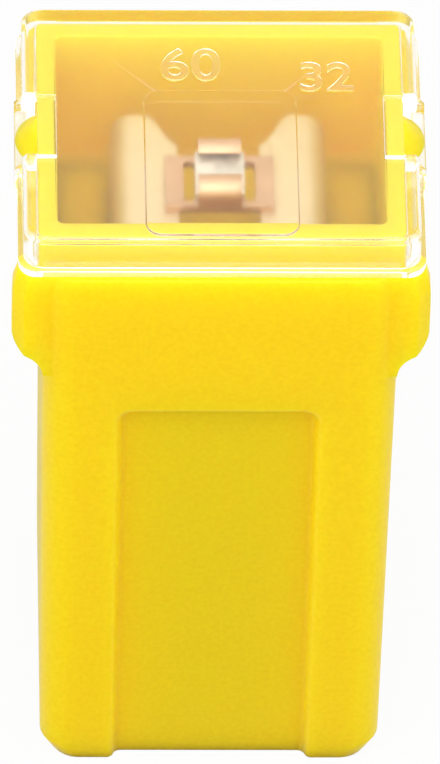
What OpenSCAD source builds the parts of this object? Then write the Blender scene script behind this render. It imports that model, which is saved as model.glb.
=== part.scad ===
// Cartridge fuse with two female blade terminals under a clear clip-on window.
// +Z is up and the origin is the centre of the underside. The two blades enter from
// below, side by side along X, and the recessed front panel faces -Y.

/* [Blades] */
// Width of the male blade that each terminal takes
blade_w = 6.3; // [5.6:0.1:7]
// Thickness of that blade
blade_t = 0.8; // [0.6:0.05:1]
// Distance between the centres of the two blades
blade_pitch = 8.7; // [8.2:0.1:9.6]

/* [Terminals] */
// Thickness of the terminals' sheet
sheet_t = 0.4; // [0.3:0.02:0.5]
// Play between a blade's edge and the wall of its barrel
blade_play = 0.2; // [0.1:0.05:0.35]
// Outer radius of a barrel's rolled edges
roll_r = 0.75; // [0.65:0.05:0.85]
// Inner radius of a barrel's lower corners
barrel_corner_r = 0.15; // [0.1:0.05:0.2]
// How far a rolled edge dips into the blade's place, which gives the grip
roll_dip = 0.1; // [0.05:0.05:0.2]
// Height of the rolled barrel
barrel_h = 9.5; // [8.5:0.5:11]
// Slope of the barrel's edges where they run out into the flat shank
barrel_run_out = 1.6; // [1:0.2:2.4]
// Width of the flat shank and of the shelf that it turns into
shank_w = 6.2; // [5.6:0.1:6.8]
// Inner radius of the bend from the shank to the shelf
shelf_bend_r = 0.4; // [0.3:0.05:0.6]
// Width of the tongue at the shelf's inner end
tongue_w = 4.6; // [2.6:0.1:5.2]
// Length of the curve that narrows the shelf's back edge to the tongue
tongue_curve_l = 1.2; // [0.8:0.1:1.4]
// Height of a wing that grips the ends of its slot
wing_h = 2; // [1.6:0.1:3]
// Height of the wings' lower edge above the barrel's run-out
wing_rise = 2.2; // [1.6:0.2:3]
// Number of barbs up the edge of a wing
barbs = 2; // [1:1:3]

/* [Spring clips] */
// Thickness of the steel clips round the barrels
clip_t = 0.2; // [0.15:0.01:0.25]
// Height of a clip
clip_h = 5; // [4:0.25:5.5]
// Height of a clip's lower edge above the barrel's mouth
clip_rise = 2.4; // [2:0.1:3]
// Play between a clip and the barrel inside it
clip_play = 0.03; // [0.02:0.01:0.05]
// Straight end of each of a clip's lips
clip_lip_l = 0.2; // [0.1:0.05:0.3]
// Height of each ear that keeps a clip in place
ear_h = 0.5; // [0.4:0.1:0.8]
// How far the ears stand out from the barrel
ear_out = 0.15; // [0.1:0.01:0.18]

/* [Fusible link] */
// Thickness of the link's strip
link_t = 0.35; // [0.25:0.05:0.45]
// Width of the strip
link_w = 2.7; // [2.3:0.1:3.2]
// Length of the free span between the two tongues
link_span = 3; // [2.8:0.1:3.4]
// Length that the strip laps over each tongue
link_lap = 0.5; // [0.4:0.05:1.1]
// Length along the strip of each weakened neck's window
neck_window_l = 0.4; // [0.3:0.05:0.5]
// Width of each of the two bridges beside a window
neck_bridge_w = 0.3; // [0.2:0.05:0.4]
// Distance from the strip's middle to the windows' centres
neck_at = 1.12; // [1.1:0.02:1.16]
// Length of the two claws that hold the slug
claw_l = 1.6; // [0.8:0.1:1.7]
// Radius of the claws' curl, to the middle of the strip's thickness
claw_r = 0.4; // [0.35:0.05:0.55]
// Inner radius of the bend from the strip up into a claw
claw_bend_r = 0.15; // [0.1:0.01:0.18]
// Air between the claws and the window over them
claw_air = 0.9; // [0.3:0.05:1]

/* [Tin slug] */
// Length of the slug along the strip
slug_l = 1.8; // [1.4:0.1:1.9]
// Height of the slug
slug_h = 0.5; // [0.4:0.02:0.52]
// Play between the slug's sides and the claws
slug_play = 0.05; // [0.03:0.01:0.1]

/* [Housing] */
// Height of the housing up to the ledge that the window sits on
housing_h = 25.2; // [24:0.2:27]
// Wall outside each terminal slot, at the ledge
side_wall = 0.8; // [0.6:0.05:1]
// How far each side draws in from the ledge down to the foot
draft = 0.22; // [0.05:0.01:0.26]
// Radius of the housing's upright edges
upright_r = 1; // [0.6:0.1:1.3]
// Radius of the corners of the panels, of the middle pocket and of the window's pad
edge_r = 0.6; // [0.4:0.1:0.8]
// Width of the bevel at the foot's left and right ends
foot_bevel_w = 0.45; // [0.2:0.05:0.5]
// Height of that bevel
foot_bevel_h = 0.7; // [0.4:0.1:1]
// Width of the bevel round the ledge
rim_bevel_w = 0.2; // [0.1:0.05:0.3]
// Height of that bevel
rim_bevel_h = 0.9; // [0.6:0.1:1.2]
// Height of the head and its lugs, down to where they run into the body
lug_h = 5; // [4.6:0.2:6.6]
// Length front to back of the lugs at the head's front corners
lug_l = 1.7; // [1.5:0.1:2.4]
// How far the lugs stand out from the head's sides
lug_out = 0.5; // [0.3:0.05:0.6]
// How far the head's front and back stand in from the body's
lug_setback = 0.25; // [0.1:0.05:0.4]
// Bevel on the upright edges of the head and its lugs
lug_bevel = 0.45; // [0.3:0.05:0.6]
// Height of the round shoulder on top of the lugs
lug_shoulder_h = 1.6; // [1.2:0.1:2]
// Flat strip of ledge in front of the window's flange
front_ledge = 0.2; // [0.1:0.05:0.4]

/* [Housing panels and pockets] */
// Width of the sunk panel on the front and on the back
panel_w = 7; // [6:0.2:8]
// Depth of the sunk panels at the foot
panel_depth = 0.38; // [0.25:0.01:0.5]
// How far the slopes round a sunk panel reach
panel_slope = 0.3; // [0.1:0.05:0.5]
// Height between a sunk panel's top and the head
panel_drop = 1.9; // [0.4:0.1:2.2]
// Wall behind the sunk panels
panel_wall = 0.9; // [0.7:0.05:1.1]
// Wall between a terminal slot and the middle pocket
web_wall = 0.7; // [0.5:0.05:0.8]
// Thickness of the floor under the link
floor_t = 1.3; // [1:0.1:1.8]
// Depth of the link's chamber below the ledge
chamber_depth = 4.7; // [4.2:0.1:5.5]
// Room between a terminal slot and the chamber's side
chamber_side_room = 0.25; // [0.15:0.05:0.35]
// Room between a terminal slot and the chamber's front or back
chamber_end_room = 0.9; // [0.5:0.05:1]
// Radius of the chamber's corners
chamber_corner_r = 0.25; // [0.15:0.05:0.6]
// Thickness of the foot's shelf that a terminal stands on
foot_t = 1.2; // [1:0.1:1.6]
// Play on each side of a blade in the foot's entry
entry_play = 0.35; // [0.25:0.05:0.4]
// Width of the lead-in round each entry
lead_in_w = 0.4; // [0.2:0.05:0.5]
// Height of that lead-in
lead_in_h = 0.7; // [0.4:0.1:0.9]
// Play between a terminal with its clip and its slot
slot_play = 0.05; // [0.04:0.01:0.1]

/* [Neck and latches] */
// Thickness of the neck's wall
neck_wall = 0.7; // [0.6:0.05:0.8]
// Height of the neck above the ledge
neck_h = 1.15; // [1:0.05:1.3]
// Length of a latch tongue along the side
latch_l = 3; // [2.6:0.1:3.4]
// Thickness of a latch tongue
latch_t = 0.6; // [0.5:0.02:0.6]
// How far a latch tongue stands above the neck
latch_rise = 0.35; // [0.3:0.05:0.45]
// Length of a latch's nose at the tongue
nose_l = 2.8; // [2.4:0.1:2.9]
// How far the nose stands out from the tongue
nose_out = 0.85; // [0.5:0.05:0.9]
// Height of the nose
nose_h = 0.7; // [0.6:0.05:0.75]
// How far the nose still stands out at its top
nose_lip = 0.15; // [0.1:0.05:0.25]

/* [Window] */
// Play between the neck and the window round it
window_play = 0.05; // [0.03:0.01:0.1]
// Thickness of the window's walls
window_wall = 0.5; // [0.4:0.05:0.6]
// Thickness of the window's plate
window_plate = 0.5; // [0.4:0.05:0.6]
// Radius of the window's upright corners
window_corner_r = 0.7; // [0.6:0.05:1]
// Bevel round the top of the window
window_bevel = 0.15; // [0.1:0.01:0.25]
// Width of the flange round the window's foot
flange_w = 0.2; // [0.1:0.05:0.3]
// Thickness of that flange
flange_t = 0.3; // [0.2:0.05:0.4]
// Width of the raised pad on the plate
pad_w = 5.6; // [5:0.1:6.5]
// Length of the raised pad
pad_l = 7.6; // [6.4:0.1:7.8]
// Distance from the raised pad to the plate's front edge
pad_inset = 0.1; // [0.05:0.05:0.2]
// Height of the raised pad
pad_h = 0.1; // [0.05:0.01:0.15]
// Play round a latch tongue in the window's notch
notch_play = 0.1; // [0.05:0.01:0.12]
// How far the loops stand out from the window's walls
loop_out = 0.3; // [0.25:0.05:0.4]
// Length of a loop's posts along the side
loop_post_l = 0.4; // [0.3:0.05:0.5]
// Bevel on a loop's upright corners
loop_bevel = 0.1; // [0.05:0.01:0.12]
// Thickness of a loop's bar
loop_bar_t = 0.45; // [0.4:0.01:0.5]
// Play between a loop's bar and the nose above it
loop_play = 0.05; // [0.03:0.01:0.1]

/* [Hidden] */
// Overshoot of a cut past the face that it opens
cut = 1;
// Largest angle of one facet in a bent strip
bend_facet = 15;

// Places along X, to the right of the middle
blade_x = blade_pitch / 2;
sheet_x = blade_x - blade_t / 2 - sheet_t;
slot_in_x = sheet_x - clip_t - slot_play;
barrel_d = sheet_t + blade_t + roll_r;
slot_out_x = sheet_x + barrel_d + clip_play + clip_t + slot_play;
body_x = slot_out_x + side_wall;
chamber_x = slot_out_x + chamber_side_room;
neck_x = chamber_x + neck_wall;
window_x = neck_x + window_play + window_wall;
head_x = window_x + flange_w + rim_bevel_w;
side_x = head_x - lug_out;
pocket_x = slot_in_x - web_wall;

// Places along Y, behind the middle
barrel_y = blade_w / 2 + blade_play + sheet_t;
clip_y = barrel_y + clip_play + clip_t;
slot_y = clip_y + slot_play;
chamber_y = slot_y + chamber_end_room;
neck_y = chamber_y + neck_wall;
window_y = neck_y + window_play + window_wall;
body_y = window_y + flange_w + front_ledge + rim_bevel_w;
lug_y = body_y - lug_setback;
panel_y = body_y - draft - panel_depth;
pocket_y = panel_y - panel_wall;
tongue_y = tongue_w - shank_w / 2;
link_y = (tongue_y - shank_w / 2) / 2;

// Heights
floor_z = housing_h - chamber_depth;
pocket_top_z = floor_z - floor_t;
lug_z = housing_h - lug_h;
panel_top_z = lug_z - panel_drop;
neck_z = housing_h + neck_h;
latch_z = neck_z + latch_rise;
nose_z = latch_z - nose_h;
plate_z = neck_z + window_play;
window_z = plate_z + window_plate;

// The shelf lies under the plate by the height of the claws and some air
claw_root_r = claw_bend_r + link_t / 2;
claw_top = link_t / 2 + claw_root_r + claw_rise() + claw_r + link_t / 2;
link_z = plate_z - claw_air - claw_top;
shelf_z = link_z - sheet_t;
clip_z = foot_t + clip_rise;
run_out_z = foot_t + barrel_h;
wing_z = run_out_z + barrel_run_out + wing_rise;

// ---------------------------------------------------------------- shared geometry

// Half the body's width or depth at a height, from its half size at the ledge.
function drafted(half, z) = half - draft * (1 - z / housing_h);

// Points along an arc about a centre, between two angles.
function arc(centre, r, from, to, steps = 8) =
    [for (i = [0:steps]) let (a = from + (to - from) * i / steps) centre + r * [cos(a), sin(a)]];

// Outline of a rectangle from its half sizes, with round corners, or bevelled ones at one step.
function rounded(x, y, r, steps = 6) = concat(
    arc([x - r, y - r], r, 0, 90, steps),
    arc([r - x, y - r], r, 90, 180, steps),
    arc([r - x, r - y], r, 180, 270, steps),
    arc([x - r, r - y], r, 270, 360, steps));

function shifted(points, by) = [for (p = points) p + by];

// Middle line of a bent strip: each step is [length, 0] for a straight run, or [radius, angle]
// for a bend. Every point is [place, heading].
function walk(steps, at = [0, 0], heading = 0, i = 0) =
    i == len(steps) ? [[at, heading]] :
    let (size = steps[i][0], turn = steps[i][1], side = sign(turn),
         hub = at + side * size * [-sin(heading), cos(heading)],
         parts = turn == 0 ? 1 : ceil(abs(turn) / bend_facet),
         bend = [for (k = [0:parts - 1]) let (h = heading + turn * k / parts)
                 [turn == 0 ? at : hub + side * size * [sin(h), -cos(h)], h]],
         end = turn == 0 ? at + size * [cos(heading), sin(heading)] :
               hub + side * size * [sin(heading + turn), -cos(heading + turn)])
    concat(bend, walk(steps, end, heading + turn, i + 1));

// Outline of a strip of thickness t round such a middle line.
function strip(line, t) = concat(
    [for (p = line) p[0] + t / 2 * [sin(p[1]), -cos(p[1])]],
    [for (i = [len(line) - 1:-1:0]) line[i][0] - t / 2 * [sin(line[i][1]), -cos(line[i][1])]]);

// Solid through a stack of convex outlines with as many points each, given as [height, points].
module loft(stack) {
    n = len(stack[0][1]);
    top = (len(stack) - 1) * n;
    polyhedron(
        points = [for (level = stack, p = level[1]) [p.x, p.y, level[0]]],
        faces = concat(
            [[for (i = [0:n - 1]) i]],
            [[for (i = [n - 1:-1:0]) top + i]],
            [for (j = [0:len(stack) - 2], i = [0:n - 1])
                [j * n + i, (j + 1) * n + i, (j + 1) * n + (i + 1) % n, j * n + (i + 1) % n]]));
}

module prism(points, z, h) {
    translate([0, 0, z]) linear_extrude(h) polygon(points);
}

// A copy on the right and its mirror image on the left.
module both_sides() {
    children();
    mirror([1, 0, 0]) children();
}

// Turns a section drawn in (Y, height) to face along X, centred over a length.
module along_x(length) {
    translate([-length / 2, 0, 0]) rotate([90, 0, 90]) linear_extrude(length) children();
}

// ---------------------------------------------------------------- housing

// Body with its draft, the bevels at the foot's ends and the bevel round the ledge.
module body_block() {
    rim_z = housing_h - rim_bevel_h;
    loft([
        [0, rounded(drafted(body_x, 0) - foot_bevel_w, drafted(body_y, 0), upright_r)],
        [foot_bevel_h, rounded(drafted(body_x, foot_bevel_h), drafted(body_y, foot_bevel_h), upright_r)],
        [rim_z, rounded(drafted(body_x, rim_z), drafted(body_y, rim_z), upright_r)],
        [housing_h, rounded(body_x - rim_bevel_w, body_y - rim_bevel_w, upright_r)]]);
}

// Front view of the head: round shoulders over upright sides, which sweep into the body in
// two opposite arcs.
function head_side() =
    let (r = (head_x - drafted(body_x, lug_z)), sweep = 60, rise = 2 * r * sin(sweep))
    concat(
        [for (a = [90:-15:0])
            [head_x - rim_bevel_w * (1 - cos(a)), housing_h - lug_shoulder_h * (1 - sin(a))]],
        arc([head_x - r, lug_z + rise], r, 0, -sweep),
        arc([head_x, lug_z], r, 180 - sweep, 180));

// Upright block with bevelled corners and the bevel round the ledge, from its half sizes.
module ledge_block(x, y) {
    loft([
        [lug_z - cut, rounded(x, y, lug_bevel, 1)],
        [housing_h - rim_bevel_h, rounded(x, y, lug_bevel, 1)],
        [housing_h, rounded(x - rim_bevel_w, y - rim_bevel_w, lug_bevel, 1)]]);
}

// Wider head under the ledge, with a lug at each front corner.
module head_block() {
    right = head_side();
    outline = concat(right, [for (i = [len(right) - 1:-1:0]) [-right[i].x, right[i].y]]);
    intersection() {
        rotate([90, 0, 0]) translate([0, 0, -body_y]) linear_extrude(2 * body_y) polygon(outline);
        union() {
            ledge_block(side_x, lug_y);
            translate([0, (lug_l - 2 * lug_y) / 2, 0]) ledge_block(head_x, lug_l / 2);
        }
    }
}

// Tongue on the neck's side with a nose that holds the window down.
module latch() {
    nose_r = (pow(nose_l / 2, 2) + pow(nose_out, 2)) / (2 * nose_out);
    translate([neck_x - latch_t, -latch_l / 2, housing_h - cut])
        cube([latch_t, latch_l, latch_z - housing_h + cut]);
    intersection() {
        translate([neck_x + nose_out - nose_r, 0, nose_z])
            cylinder(h = nose_h, r1 = nose_r, r2 = nose_r - nose_out + nose_lip, $fn = 64);
        translate([neck_x - latch_t / 2, -latch_l / 2, nose_z - cut])
            cube([latch_t + nose_out, latch_l, nose_h + 2 * cut]);
    }
}

// Sunk panel, cut into the front. Its slopes run out into the body's face.
module front_panel_cut() {
    low = -cut - edge_r;
    face_y = body_y + cut;
    slope = panel_slope / (panel_depth + draft);
    flare = slope * (face_y - panel_y);
    function opening(grow) = let (top = panel_top_z + grow)
        shifted(rounded(panel_w / 2 + grow, (top - low) / 2, edge_r), [0, (top + low) / 2]);
    rotate([90, 0, 0]) loft([[panel_y, opening(0)], [face_y, opening(flare)]]);
}

// Way in for a blade through the foot, with a lead-in at its mouth.
module blade_entry() {
    x = blade_t / 2 + entry_play;
    y = blade_w / 2 + entry_play;
    r = entry_play / 2;
    function mouth(grow) = rounded(x + grow, y + grow, r);
    translate([blade_x, 0, 0]) {
        loft([[0, mouth(lead_in_w)], [lead_in_h, mouth(0)]]);
        prism(mouth(0), lead_in_h / 2, foot_t + cut);
        prism(mouth(lead_in_w), -cut, cut);
    }
}

module housing() {
    color([0.96, 0.8, 0.12]) difference() {
        union() {
            body_block();
            head_block();
            prism(rounded(neck_x, neck_y, window_corner_r - window_wall), housing_h - cut, neck_h + cut);
            both_sides() latch();
        }
        prism(rounded(chamber_x, chamber_y, chamber_corner_r), floor_z, latch_z);
        prism(rounded(pocket_x, pocket_y, edge_r), -cut, pocket_top_z + cut);
        both_sides() {
            translate([slot_in_x, -slot_y, foot_t]) cube([slot_out_x - slot_in_x, 2 * slot_y, floor_z]);
            blade_entry();
        }
        front_panel_cut();
        mirror([0, 1, 0]) front_panel_cut();
    }
}

// ---------------------------------------------------------------- window

// Notch in the window's side for a latch, closed outside by a loop that the nose holds. A thin
// roof is left over the tongue, and only the nose stands in the open.
module window_notch() {
    in_x = neck_x - latch_t - notch_play;
    out_x = window_x + loop_out - loop_bar_t;
    half_l = latch_l / 2 + notch_play;
    roof_z = latch_z + notch_play / 2;
    translate([in_x, -half_l, housing_h - cut]) cube([out_x - in_x, 2 * half_l, roof_z - housing_h + cut]);
    translate([neck_x, -half_l, nose_z - loop_play]) cube([head_x, 2 * half_l, window_z]);
}

// Loop round a latch. Its posts root in the window's wall, and at the top they slope back
// into it under the window's bevel.
module window_loop() {
    half_l = latch_l / 2 + notch_play + loop_post_l;
    end_x = window_x - window_bevel;
    end_z = window_z - 2 * window_bevel;
    slope = loop_out + window_bevel;
    function outline(out_x) =
        shifted(rounded((out_x - neck_x) / 2, half_l, loop_bevel, 1), [(out_x + neck_x) / 2, 0]);
    loft([
        [housing_h, outline(window_x + loop_out)],
        [end_z - slope, outline(window_x + loop_out)],
        [end_z, outline(end_x)]]);
}

module window_cap() {
    inner_r = window_corner_r - window_wall + window_play;
    pad_y = -window_y + window_bevel + pad_inset + pad_l / 2;
    color([0.9, 0.93, 0.95, 0.4]) difference() {
        union() {
            loft([
                [housing_h, rounded(window_x, window_y, window_corner_r)],
                [window_z - window_bevel, rounded(window_x, window_y, window_corner_r)],
                [window_z, rounded(window_x - window_bevel, window_y - window_bevel, window_corner_r)]]);
            prism(rounded(window_x + flange_w, window_y + flange_w, window_corner_r), housing_h, flange_t);
            prism(shifted(rounded(pad_w / 2, pad_l / 2, edge_r), [0, pad_y]), plate_z + window_plate / 2,
                  window_plate / 2 + pad_h);
            both_sides() window_loop();
        }
        prism(rounded(neck_x + window_play, neck_y + window_play, inner_r), housing_h - cut,
              plate_z - housing_h + cut);
        both_sides() window_notch();
    }
}

// ---------------------------------------------------------------- terminals

// Half of a barrel's section, from the middle out: floor, wall, rolled edge and its dip.
function barrel_line() =
    let (corner = barrel_corner_r + sheet_t / 2, roll = roll_r - sheet_t / 2)
    walk([[barrel_y - sheet_t / 2 - corner, 0], [corner, 90],
          [sheet_t / 2 + blade_t - corner, 0], [roll, 180], [roll_dip, 0]],
         [0, sheet_t / 2]);

// Section drawn in (Y, distance from the sheet's inner face), extruded upwards.
module upright_section(points, z, h) {
    for (side = [0, 1])
        mirror([0, side, 0])
            translate([sheet_x, 0, z]) linear_extrude(h)
                polygon([for (p = points) [p.y, p.x]]);
}

// Rolled barrel. Its edges run out upwards in a slope that leaves the flat sheet.
module barrel() {
    full_h = barrel_h + barrel_run_out;
    difference() {
        upright_section(strip(barrel_line(), sheet_t), foot_t, full_h);
        translate([sheet_x + sheet_t, -barrel_y - cut, foot_t + full_h])
            rotate([0, 90 - atan2(barrel_run_out, barrel_d - sheet_t), 0])
                translate([-full_h, 0, 0]) cube([full_h, 2 * (barrel_y + cut), full_h]);
    }
}

// Flat sheet from the barrel to the bend, with barbed wings that bite into the slot's ends.
module shank() {
    half_w = shank_w / 2;
    barb_h = wing_h / barbs;
    wing = concat([[0, 0]],
                  [for (i = [0:barbs - 1]) each [[half_w, i * barb_h], [slot_y, (i + 1) * barb_h]]],
                  [[half_w, wing_h], [0, wing_h]]);
    bend_z = link_z - sheet_t - shelf_bend_r;
    translate([sheet_x, 0, 0]) rotate([90, 0, 90]) linear_extrude(sheet_t) {
        translate([-half_w, run_out_z]) square([shank_w, bend_z - run_out_z]);
        for (side = [0, 1])
            mirror([side, 0]) translate([0, wing_z]) polygon(wing);
    }
}

// Shelf at the top, bent inwards. Its back edge swings forward to the tongue under the link.
module shelf() {
    half_w = shank_w / 2;
    bend_x = sheet_x - shelf_bend_r;
    tip_x = link_span / 2;
    middle_r = shelf_bend_r + sheet_t / 2;
    swing = [for (a = [180:-20:0])
        [tip_x + tongue_curve_l * a / 180, tongue_y + (half_w - tongue_y) * (1 - cos(a)) / 2]];
    rotate([90, 0, 0]) linear_extrude(shank_w, center = true)
        polygon(strip(walk([[middle_r, 90]], [sheet_x + sheet_t / 2, link_z - sheet_t - shelf_bend_r], 90),
                      sheet_t));
    prism(concat([[bend_x, -half_w], [bend_x, half_w]], swing, [[tip_x, -half_w]]), shelf_z, sheet_t);
}

// Ears on the upright part of the barrel's walls, under and over the clip.
module clip_ears() {
    for (z = [clip_z - ear_h, clip_z + clip_h], side = [0, 1])
        mirror([0, side, 0]) translate([sheet_x + sheet_t, barrel_y - sheet_t / 2, z])
            cube([blade_t, sheet_t / 2 + ear_out, ear_h]);
}

module terminal() {
    color([0.8, 0.8, 0.78]) {
        barrel();
        clip_ears();
        shank();
        shelf();
    }
}

module right_terminal() terminal();
module left_terminal() mirror([1, 0, 0]) terminal();

// ---------------------------------------------------------------- spring clips

// C-shaped band round a barrel: its back lies on the sheet and its lips lie over the rolled edges.
module spring_clip() {
    corner = barrel_corner_r + sheet_t + clip_play + clip_t / 2;
    lip = roll_r + clip_play + clip_t / 2;
    wall = barrel_d + clip_play + clip_t - corner - lip;
    line = walk([[clip_y - clip_t / 2 - corner, 0], [corner, 90], [wall, 0], [lip, 90], [clip_lip_l, 0]],
                [0, -clip_t / 2]);
    color([0.62, 0.64, 0.67]) upright_section(strip(line, clip_t), clip_z, clip_h);
}

module right_spring_clip() spring_clip();
module left_spring_clip() mirror([1, 0, 0]) spring_clip();

// ---------------------------------------------------------------- link and slug

// Straight stretch of a claw between its two bends.
function claw_rise() = slug_h - link_t / 2;

// Half of the section through the claws, from the middle out.
function claw_line() =
    walk([[link_w / 2 - claw_root_r, 0], [claw_root_r, 90], [claw_rise(), 0], [claw_r, 135]],
         [0, link_t / 2]);

module fusible_link() {
    half_l = link_span / 2 + link_lap;
    window_half_w = link_w / 2 - neck_bridge_w;
    color([0.8, 0.5, 0.36]) {
        translate([0, link_y, link_z]) linear_extrude(link_t) difference() {
            square([2 * half_l, link_w], center = true);
            for (side = [-1, 1])
                polygon(shifted(rounded(neck_window_l / 2, window_half_w, neck_window_l / 2),
                                [side * neck_at, 0]));
        }
        translate([0, link_y, link_z]) along_x(claw_l)
            for (side = [0, 1]) mirror([side, 0]) polygon(strip(claw_line(), link_t));
    }
}

module tin_slug() {
    half_w = link_w / 2 - link_t / 2 - slug_play;
    color([0.72, 0.73, 0.75]) translate([0, link_y, link_z + link_t]) along_x(slug_l)
        translate([0, slug_h / 2]) polygon(rounded(half_w, slug_h / 2, claw_bend_r));
}

housing();
window_cap();
left_terminal();
right_terminal();
left_spring_clip();
right_spring_clip();
fusible_link();
tin_slug();
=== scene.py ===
import math

import bmesh
import bpy
from mathutils import Matrix, Vector


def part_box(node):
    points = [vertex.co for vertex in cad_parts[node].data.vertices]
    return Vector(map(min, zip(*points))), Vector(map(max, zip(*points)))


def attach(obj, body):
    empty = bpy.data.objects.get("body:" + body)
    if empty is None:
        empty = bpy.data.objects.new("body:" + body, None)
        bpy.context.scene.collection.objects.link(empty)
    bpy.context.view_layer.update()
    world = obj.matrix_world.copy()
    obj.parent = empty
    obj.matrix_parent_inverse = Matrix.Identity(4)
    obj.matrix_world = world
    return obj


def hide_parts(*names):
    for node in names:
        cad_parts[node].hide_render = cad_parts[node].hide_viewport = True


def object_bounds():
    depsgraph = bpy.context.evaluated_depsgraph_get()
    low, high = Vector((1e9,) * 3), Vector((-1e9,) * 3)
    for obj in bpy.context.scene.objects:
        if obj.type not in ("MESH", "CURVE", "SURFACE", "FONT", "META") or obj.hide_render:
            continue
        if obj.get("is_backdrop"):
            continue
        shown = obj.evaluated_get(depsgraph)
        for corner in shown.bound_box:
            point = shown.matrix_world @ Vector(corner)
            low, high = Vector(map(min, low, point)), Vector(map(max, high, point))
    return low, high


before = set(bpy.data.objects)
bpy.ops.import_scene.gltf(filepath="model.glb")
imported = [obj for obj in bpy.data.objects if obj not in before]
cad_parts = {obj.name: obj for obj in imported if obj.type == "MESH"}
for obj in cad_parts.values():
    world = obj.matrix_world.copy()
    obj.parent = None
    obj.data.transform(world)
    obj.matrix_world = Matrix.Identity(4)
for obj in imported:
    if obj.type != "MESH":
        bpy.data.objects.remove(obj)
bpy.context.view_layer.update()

# ---------------------------------------------------------------- housing
# Injection-moulded shell of yellow nylon: body, lugs, neck, latch tongues and link chamber
# in one piece. The mould's edges are slightly round, and the skin has a fine grain.
MM = 0.001
WELD = 0.01 * MM
FLAT_WITHIN = math.radians(0.5)
CREASE = math.radians(20)
SHARP = math.radians(40)
EDGE_SEGMENTS = 2
BROAD_SEGMENTS = 5


def rounded(bm, edges, radius, segments):
    """Rounds some edges of a mesh."""
    bmesh.ops.bevel(bm, geom=edges, offset=radius, offset_type="OFFSET", affect="EDGES",
                    segments=segments, profile=0.5, material=-1, clamp_overlap=False)
    bmesh.ops.remove_doubles(bm, verts=bm.verts, dist=WELD)


def crisp_edges(bm):
    """Edges where two faces meet at more than the crease angle."""
    return [edge for edge in bm.edges
            if len(edge.link_faces) == 2 and edge.calc_face_angle() > CREASE]


def softened(node, name, edge_r, broad=None, broad_r=0):
    """Merged copy of a moulded or stamped piece with rounded edges, the broad ones more so."""
    bm = bmesh.new()
    bm.from_mesh(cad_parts[node].data)
    bmesh.ops.remove_doubles(bm, verts=bm.verts, dist=WELD)
    bmesh.ops.dissolve_limit(bm, angle_limit=FLAT_WITHIN, verts=bm.verts, edges=bm.edges)
    bmesh.ops.connect_verts_concave(bm, faces=bm.faces)
    if broad:
        rounded(bm, [edge for edge in crisp_edges(bm) if broad(edge)], broad_r, BROAD_SEGMENTS)
    rounded(bm, crisp_edges(bm), edge_r, EDGE_SEGMENTS)
    mesh = bpy.data.meshes.new(name)
    bm.to_mesh(mesh)
    bm.free()
    mesh.shade_smooth()
    mesh.set_sharp_from_angle(angle=SHARP)
    piece = bpy.data.objects.new(name, mesh)
    bpy.context.collection.objects.link(piece)
    flats = piece.modifiers.new("flat faces", "WEIGHTED_NORMAL")
    flats.keep_sharp = True
    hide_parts(node)
    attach(piece, "root")
    return piece


def new_material(name):
    """Node material with a Principled shader; returns it with its nodes, links and shader."""
    material = bpy.data.materials.new(name)
    material.use_nodes = True
    nodes, links = material.node_tree.nodes, material.node_tree.links
    return material, nodes, links, nodes["Principled BSDF"]


def noise(nodes, links, per_mm, detail=3, stretch=(1, 1, 1)):
    """Noise fixed to the piece, with so many features to the millimetre."""
    place = nodes.new("ShaderNodeTexCoord")
    scale = nodes.new("ShaderNodeMapping")
    scale.inputs["Scale"].default_value = [per_mm / MM * axis for axis in stretch]
    grain = nodes.new("ShaderNodeTexNoise")
    grain.inputs["Scale"].default_value = 1
    grain.inputs["Detail"].default_value = detail
    links.new(place.outputs["Object"], scale.inputs["Vector"])
    links.new(scale.outputs["Vector"], grain.inputs["Vector"])
    return grain.outputs["Fac"]


# The part of a noise's range, from 0 to 1, that colours and roughness are spread over.
NOISE_LOW, NOISE_HIGH = 0.3, 0.7


def tint(nodes, links, source, low, high, shader):
    """Spreads a noise between two colours of a shader."""
    node = nodes.new("ShaderNodeValToRGB")
    first, last = node.color_ramp.elements
    first.position = NOISE_LOW
    first.color = (*low, 1)
    last.position = NOISE_HIGH
    last.color = (*high, 1)
    links.new(source, node.inputs["Fac"])
    links.new(node.outputs["Color"], shader.inputs["Base Color"])


def roughen(nodes, links, source, low, high, shader):
    """Spreads a noise between two values of a shader's roughness."""
    node = nodes.new("ShaderNodeMapRange")
    node.inputs["From Min"].default_value = NOISE_LOW
    node.inputs["From Max"].default_value = NOISE_HIGH
    node.inputs["To Min"].default_value = low
    node.inputs["To Max"].default_value = high
    links.new(source, node.inputs["Value"])
    links.new(node.outputs["Result"], shader.inputs["Roughness"])


def bump(nodes, links, source, depth, shader):
    """Relief of so many metres from a noise."""
    node = nodes.new("ShaderNodeBump")
    node.inputs["Distance"].default_value = depth
    links.new(source, node.inputs["Height"])
    links.new(node.outputs["Normal"], shader.inputs["Normal"])


NYLON_DEEP = (0.85, 0.59, 0.005)
NYLON_PALE = (0.90, 0.64, 0.01)
NYLON_ROUGHNESS = (0.38, 0.48)
NYLON_GRAIN = 0.001 * MM
NYLON_IOR = 1.5
NYLON_SHINE = (1.0, 0.86, 0.25, 1)
SCATTER_RGB = (0.75, 1.0, 0.2)
SCATTER_REACH = 3 * MM

nylon, nodes, links, shader = new_material("yellow_nylon")
tint(nodes, links, noise(nodes, links, per_mm=5, detail=4), NYLON_DEEP, NYLON_PALE, shader)
roughen(nodes, links, noise(nodes, links, per_mm=8), *NYLON_ROUGHNESS, shader)
bump(nodes, links, noise(nodes, links, per_mm=6, detail=2), NYLON_GRAIN, shader)
shader.inputs["IOR"].default_value = NYLON_IOR
shader.inputs["Specular Tint"].default_value = NYLON_SHINE
shader.inputs["Subsurface Weight"].default_value = 1
shader.inputs["Subsurface Radius"].default_value = SCATTER_RGB
shader.inputs["Subsurface Scale"].default_value = SCATTER_REACH

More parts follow.
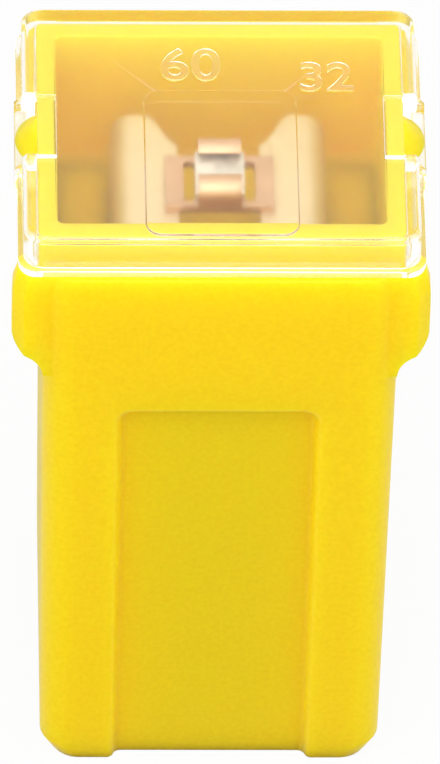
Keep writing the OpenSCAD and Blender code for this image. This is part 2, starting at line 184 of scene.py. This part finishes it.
HOUSING_EDGE_R = 0.06 * MM
PANEL_EDGE_R = 0.16 * MM
PANEL_HALF = 3.8 * MM
PANEL_FLOOR_Y = -6.1 * MM
PANEL_TOP = 18.6 * MM


def panel_edge(edge):
    """Whether an edge runs along the sunk panel of the front, above the foot."""
    a, b = (vert.co for vert in edge.verts)
    return (max(abs(a.x), abs(b.x)) < PANEL_HALF and max(a.y, b.y) < PANEL_FLOOR_Y
            and WELD < max(a.z, b.z) < PANEL_TOP)


housing = softened("housing", "moulded_housing", HOUSING_EDGE_R, panel_edge, PANEL_EDGE_R)
housing.data.materials.append(nylon)

# ---------------------------------------------------------------- floor webs
# The chamber floor closes up to each terminal's upright. Each web is the same yellow nylon,
# moulded with the housing, and fills the outer part of the slot that the terminal stands in.
WEB_INNER_X = 4.0 * MM
WEB_OUTER_X = 5.9 * MM
WEB_HALF_DEPTH = 4.15 * MM
WEB_BOTTOM_Z = 19.2 * MM
WEB_TOP_Z = 20.51 * MM

for side, name in ((-1, "left_floor_web"), (1, "right_floor_web")):
    middle = Vector((side * (WEB_INNER_X + WEB_OUTER_X) / 2, 0, (WEB_BOTTOM_Z + WEB_TOP_Z) / 2))
    extent = Vector((WEB_OUTER_X - WEB_INNER_X, 2 * WEB_HALF_DEPTH, WEB_TOP_Z - WEB_BOTTOM_Z))
    shape = Matrix.Translation(middle) @ Matrix.Diagonal(extent).to_4x4()
    bm = bmesh.new()
    bmesh.ops.create_cube(bm, size=1, matrix=shape)
    web_mesh = bpy.data.meshes.new(name)
    bm.to_mesh(web_mesh)
    bm.free()
    web_mesh.materials.append(nylon)
    web = bpy.data.objects.new(name, web_mesh)
    bpy.context.collection.objects.link(web)
    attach(web, "root")

# ---------------------------------------------------------------- window
# Clear polycarbonate lid, moulded in one piece with its pad, its loops and the raised numbers.
# It is pressed down over the neck until the loops catch under the latch noses.
CLEAR_WARM = (1.0, 0.965, 0.87)
CLEAR_PALE = (1.0, 0.98, 0.91)
CLEAR_ROUGHNESS = (0.11, 0.17)
CLEAR_WAVES = 0.01 * MM
CLEAR_IOR = 1.5
WINDOW_EDGE_R = 0.04 * MM
SEAT_GAP = 0.005 * MM

clear, nodes, links, shader = new_material("clear_polycarbonate")
tint(nodes, links, noise(nodes, links, per_mm=0.3), CLEAR_WARM, CLEAR_PALE, shader)
roughen(nodes, links, noise(nodes, links, per_mm=2), *CLEAR_ROUGHNESS, shader)
bump(nodes, links, noise(nodes, links, per_mm=0.5, detail=1), CLEAR_WAVES, shader)
shader.inputs["Transmission Weight"].default_value = 1
shader.inputs["IOR"].default_value = CLEAR_IOR

# Rays that carry light to other faces pass straight through the lid, and so do rays that have
# been reflected more than once, which would stay trapped in its walls and turn black.
MORE_THAN_ONE = 1.5
path = nodes.new("ShaderNodeLightPath")
light_ray = nodes.new("ShaderNodeMath")
light_ray.operation = "MAXIMUM"
links.new(path.outputs["Is Shadow Ray"], light_ray.inputs[0])
links.new(path.outputs["Is Diffuse Ray"], light_ray.inputs[1])
trapped = nodes.new("ShaderNodeMath")
trapped.operation = "GREATER_THAN"
trapped.inputs[1].default_value = MORE_THAN_ONE
links.new(path.outputs["Glossy Depth"], trapped.inputs[0])
straight = nodes.new("ShaderNodeMath")
straight.operation = "MAXIMUM"
links.new(light_ray.outputs[0], straight.inputs[0])
links.new(trapped.outputs[0], straight.inputs[1])
lit_through = nodes.new("ShaderNodeBsdfTransparent")
either = nodes.new("ShaderNodeMixShader")
links.new(straight.outputs[0], either.inputs["Fac"])
links.new(shader.outputs["BSDF"], either.inputs[1])
links.new(lit_through.outputs["BSDF"], either.inputs[2])
links.new(either.outputs["Shader"], nodes["Material Output"].inputs["Surface"])

window = softened("window_cap", "clear_window", WINDOW_EDGE_R)
window.data.materials.append(clear)

# The lid's foot stands a hair above the housing's ledge, so that no two faces share a plane.
window_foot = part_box("window_cap")[0].z
for vert in window.data.vertices:
    if vert.co.z < window_foot + WELD:
        vert.co.z += SEAT_GAP

# ---------------------------------------------------------------- raised numbers
# Two plain numbers that stand up from the back of the lid's plate. They are moulded with the
# lid, from the same clear polycarbonate, and their strokes are slightly round.
PAD_RISE = 0.1 * MM
NUMBER_RISE = 0.06 * MM
STROKE_GROWTH = 0.02 * MM
STROKE_EDGE_R = 0.02 * MM
FONT_SIZE_PER_HEIGHT = 1.4

plate_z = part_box("window_cap")[1].z - PAD_RISE


def raised_number(text, name, x, y, height):
    """Rounded raised digits on the window's plate."""
    curve = bpy.data.curves.new(name, "FONT")
    curve.body = text
    curve.size = height * FONT_SIZE_PER_HEIGHT
    curve.align_x = "CENTER"
    curve.align_y = "CENTER"
    curve.offset = STROKE_GROWTH
    curve.extrude = NUMBER_RISE / 2
    curve.bevel_depth = STROKE_EDGE_R
    curve.bevel_resolution = 2
    curve.resolution_u = 6
    shape = bpy.data.objects.new(name, curve)
    bpy.context.collection.objects.link(shape)
    bpy.context.view_layer.update()
    mesh = bpy.data.meshes.new_from_object(shape.evaluated_get(bpy.context.evaluated_depsgraph_get()))
    bpy.data.objects.remove(shape)
    mesh.transform(Matrix.Translation((x, y, plate_z + NUMBER_RISE / 2)))
    piece = bpy.data.objects.new(name, mesh)
    bpy.context.collection.objects.link(piece)
    mesh.materials.clear()
    mesh.materials.append(clear)
    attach(piece, "root")


raised_number("60", "number_left", x=-1.07 * MM, y=2.97 * MM, height=1.66 * MM)
raised_number("32", "number_right", x=3.93 * MM, y=2.35 * MM, height=1.5 * MM)

# ---------------------------------------------------------------- terminals
# Tin-plated copper-alloy sheet, rolled into a barrel for a blade and bent to a shelf at the
# top. The plating is bright but soft, with fine rolling marks along the sheet.
TINNED_DEEP = (0.68, 0.57, 0.39)
TINNED_PALE = (0.75, 0.64, 0.46)
TINNED_ROUGHNESS = (0.52, 0.62)
ROLLING_DEPTH = 0.001 * MM
TERMINAL_EDGE_R = 0.04 * MM

tinned, nodes, links, shader = new_material("tinned_sheet")
rolling = noise(nodes, links, per_mm=1.2, stretch=(1, 6, 0.3))
tint(nodes, links, rolling, TINNED_DEEP, TINNED_PALE, shader)
roughen(nodes, links, rolling, *TINNED_ROUGHNESS, shader)
bump(nodes, links, rolling, ROLLING_DEPTH, shader)
shader.inputs["Metallic"].default_value = 1

for side in ("left", "right"):
    terminal = softened(side + "_terminal", side + "_blade_terminal", TERMINAL_EDGE_R)
    terminal.data.materials.append(tinned)

# ---------------------------------------------------------------- spring clips
# C-shaped bands of stainless strip that back up the rolled barrels. They are cut from
# brushed strip, so their grain runs round the band.
STAINLESS_DEEP = (0.45, 0.45, 0.46)
STAINLESS_PALE = (0.62, 0.62, 0.63)
STAINLESS_ROUGHNESS = (0.22, 0.4)

stainless, nodes, links, shader = new_material("stainless_strip")
brushed = noise(nodes, links, per_mm=2, stretch=(0.2, 0.2, 8))
tint(nodes, links, brushed, STAINLESS_DEEP, STAINLESS_PALE, shader)
roughen(nodes, links, brushed, *STAINLESS_ROUGHNESS, shader)
shader.inputs["Metallic"].default_value = 1

for side in ("left", "right"):
    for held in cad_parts[side + "_spring_clip"].material_slots:
        held.material = stainless

# ---------------------------------------------------------------- fusible link
# Copper strip, stamped with a weakened neck on each side of its claws and slightly dulled.
# Its ends lie over the tongues of the two terminals, and the claws hold the slug.
COPPER_DEEP = (0.58, 0.38, 0.25)
COPPER_PALE = (0.66, 0.45, 0.32)
COPPER_ROUGHNESS = (0.4, 0.55)
LINK_EDGE_R = 0.02 * MM

copper, nodes, links, shader = new_material("link_copper")
dulled = noise(nodes, links, per_mm=1.5)
tint(nodes, links, dulled, COPPER_DEEP, COPPER_PALE, shader)
roughen(nodes, links, dulled, *COPPER_ROUGHNESS, shader)
shader.inputs["Metallic"].default_value = 1

link = softened("fusible_link", "necked_link", LINK_EDGE_R)
link.data.materials.append(copper)

# ---------------------------------------------------------------- slug
# Low-melting tin slug, cast to shape and gripped by the link's claws. Its skin is a little
# uneven from the casting.
TIN_DEEP = (0.66, 0.65, 0.63)
TIN_PALE = (0.82, 0.81, 0.79)
TIN_ROUGHNESS = (0.5, 0.62)
CAST_DEPTH = 0.01 * MM

tin, nodes, links, shader = new_material("cast_tin")
cast = noise(nodes, links, per_mm=2.5)
tint(nodes, links, cast, TIN_DEEP, TIN_PALE, shader)
roughen(nodes, links, cast, *TIN_ROUGHNESS, shader)
bump(nodes, links, cast, CAST_DEPTH, shader)
shader.inputs["Metallic"].default_value = 1

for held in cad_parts["tin_slug"].material_slots:
    held.material = tin

# ---------------------------------------------------------------- floor
# Plain white floor that keeps a faint shadow. The eye and the clear window see most of it as
# glowing white, while the lamps meet it as a dull grey.
FLOOR_HALF = 2.0
FLOOR_GAP = 0.01 * MM
FLOOR_GREY = (0.6, 0.6, 0.6, 1)
FLOOR_ROUGHNESS = 0.9
FLOOR_GLOW = 0.95
WHITE = (1, 1, 1, 1)

bm = bmesh.new()
bmesh.ops.create_grid(bm, x_segments=1, y_segments=1, size=FLOOR_HALF)
floor_mesh = bpy.data.meshes.new("floor")
bm.to_mesh(floor_mesh)
bm.free()
floor = bpy.data.objects.new("floor", floor_mesh)
bpy.context.collection.objects.link(floor)
floor.location.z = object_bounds()[0].z - FLOOR_GAP
floor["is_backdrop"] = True


def seen(nodes, links, share):
    """Share for rays of the eye, of gloss and of transmission, and none for the others."""
    path = nodes.new("ShaderNodeLightPath")
    eye_or_gloss = nodes.new("ShaderNodeMath")
    eye_or_gloss.operation = "MAXIMUM"
    links.new(path.outputs["Is Camera Ray"], eye_or_gloss.inputs[0])
    links.new(path.outputs["Is Glossy Ray"], eye_or_gloss.inputs[1])
    any_seen = nodes.new("ShaderNodeMath")
    any_seen.operation = "MAXIMUM"
    links.new(eye_or_gloss.outputs[0], any_seen.inputs[0])
    links.new(path.outputs["Is Transmission Ray"], any_seen.inputs[1])
    scaled = nodes.new("ShaderNodeMath")
    scaled.operation = "MULTIPLY"
    scaled.inputs[1].default_value = share
    links.new(any_seen.outputs[0], scaled.inputs[0])
    return scaled.outputs[0]


white, nodes, links, shader = new_material("white_floor")
shader.inputs["Base Color"].default_value = FLOOR_GREY
shader.inputs["Roughness"].default_value = FLOOR_ROUGHNESS
glow = nodes.new("ShaderNodeEmission")
glow.inputs["Color"].default_value = WHITE
either = nodes.new("ShaderNodeMixShader")
links.new(seen(nodes, links, FLOOR_GLOW), either.inputs["Fac"])
links.new(shader.outputs["BSDF"], either.inputs[1])
links.new(glow.outputs["Emission"], either.inputs[2])
links.new(either.outputs["Shader"], nodes["Material Output"].inputs["Surface"])
floor_mesh.materials.append(white)

# ---------------------------------------------------------------- light
# Pale studio sky, white where it is seen and dimmer as a light, with five large soft lamps
# turned to the fuse: front, top, right, left and back.
SKY_LEVEL = 0.42

world = bpy.data.worlds.new("studio")
bpy.context.scene.world = world
world.use_nodes = True
nodes, links = world.node_tree.nodes, world.node_tree.links
background = nodes["Background"]
background.inputs["Color"].default_value = WHITE
level = nodes.new("ShaderNodeMath")
level.operation = "ADD"
level.inputs[1].default_value = SKY_LEVEL
links.new(seen(nodes, links, 1 - SKY_LEVEL), level.inputs[0])
links.new(level.outputs[0], background.inputs["Strength"])


def soft_lamp(name, place, size, share):
    """Square lamp turned to the fuse, which adds such a share of full light there."""
    middle = sum(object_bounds(), Vector()) / 2
    beam = middle - Vector(place)
    data = bpy.data.lights.new(name, "AREA")
    data.size = size
    data.energy = share * math.pi ** 2 * beam.length_squared
    lamp = bpy.data.objects.new(name, data)
    lamp.location = place
    lamp.rotation_euler = beam.to_track_quat("-Z", "Y").to_euler()
    bpy.context.collection.objects.link(lamp)


soft_lamp("lamp_front", place=(-0.02, -0.085, 0.105), size=0.11, share=0.61)
soft_lamp("lamp_top", place=(0.0, -0.015, 0.22), size=0.20, share=0.50)
soft_lamp("lamp_right", place=(0.20, -0.05, 0.10), size=0.16, share=0.28)
soft_lamp("lamp_left", place=(-0.20, -0.05, 0.10), size=0.16, share=0.18)
soft_lamp("lamp_back", place=(0.0, 0.20, 0.05), size=0.18, share=0.38)

# ---------------------------------------------------------------- camera
# Long lens from the front, about 45 degrees above level and turned a little about its own
# axis. It looks at the middle of the fuse, a little to one side and below.
AZIMUTH = math.radians(-2.2)
ELEVATION = math.radians(44.9)
ROLL = math.radians(1.68)
DISTANCE = 0.6
VIEW_HEIGHT = 28.55 * MM
AIM = Vector((0, 0, 13.5 * MM))
ASIDE = 0.265 * MM
BELOW = 0.028 * MM
SENSOR = 36
NEAREST = 0.01
FARTHEST = 10

back = Vector((math.sin(AZIMUTH) * math.cos(ELEVATION), -math.cos(AZIMUTH) * math.cos(ELEVATION),
               math.sin(ELEVATION)))
level_right = (-back).cross(Vector((0, 0, 1))).normalized()
level_up = back.cross(level_right)
right = level_right * math.cos(ROLL) + level_up * math.sin(ROLL)
up = level_up * math.cos(ROLL) - level_right * math.sin(ROLL)
place = AIM + back * DISTANCE + right * ASIDE - up * BELOW
turn = Matrix((right, up, back)).transposed().to_4x4()

camera_data = bpy.data.cameras.new("camera")
camera_data.sensor_width = SENSOR
camera_data.lens = SENSOR * DISTANCE / VIEW_HEIGHT
camera_data.clip_start = NEAREST
camera_data.clip_end = FARTHEST
camera = bpy.data.objects.new("camera", camera_data)
camera.matrix_world = Matrix.Translation(place) @ turn
bpy.context.collection.objects.link(camera)
bpy.context.scene.camera = camera
bpy.context.scene.view_settings.view_transform = "Standard"
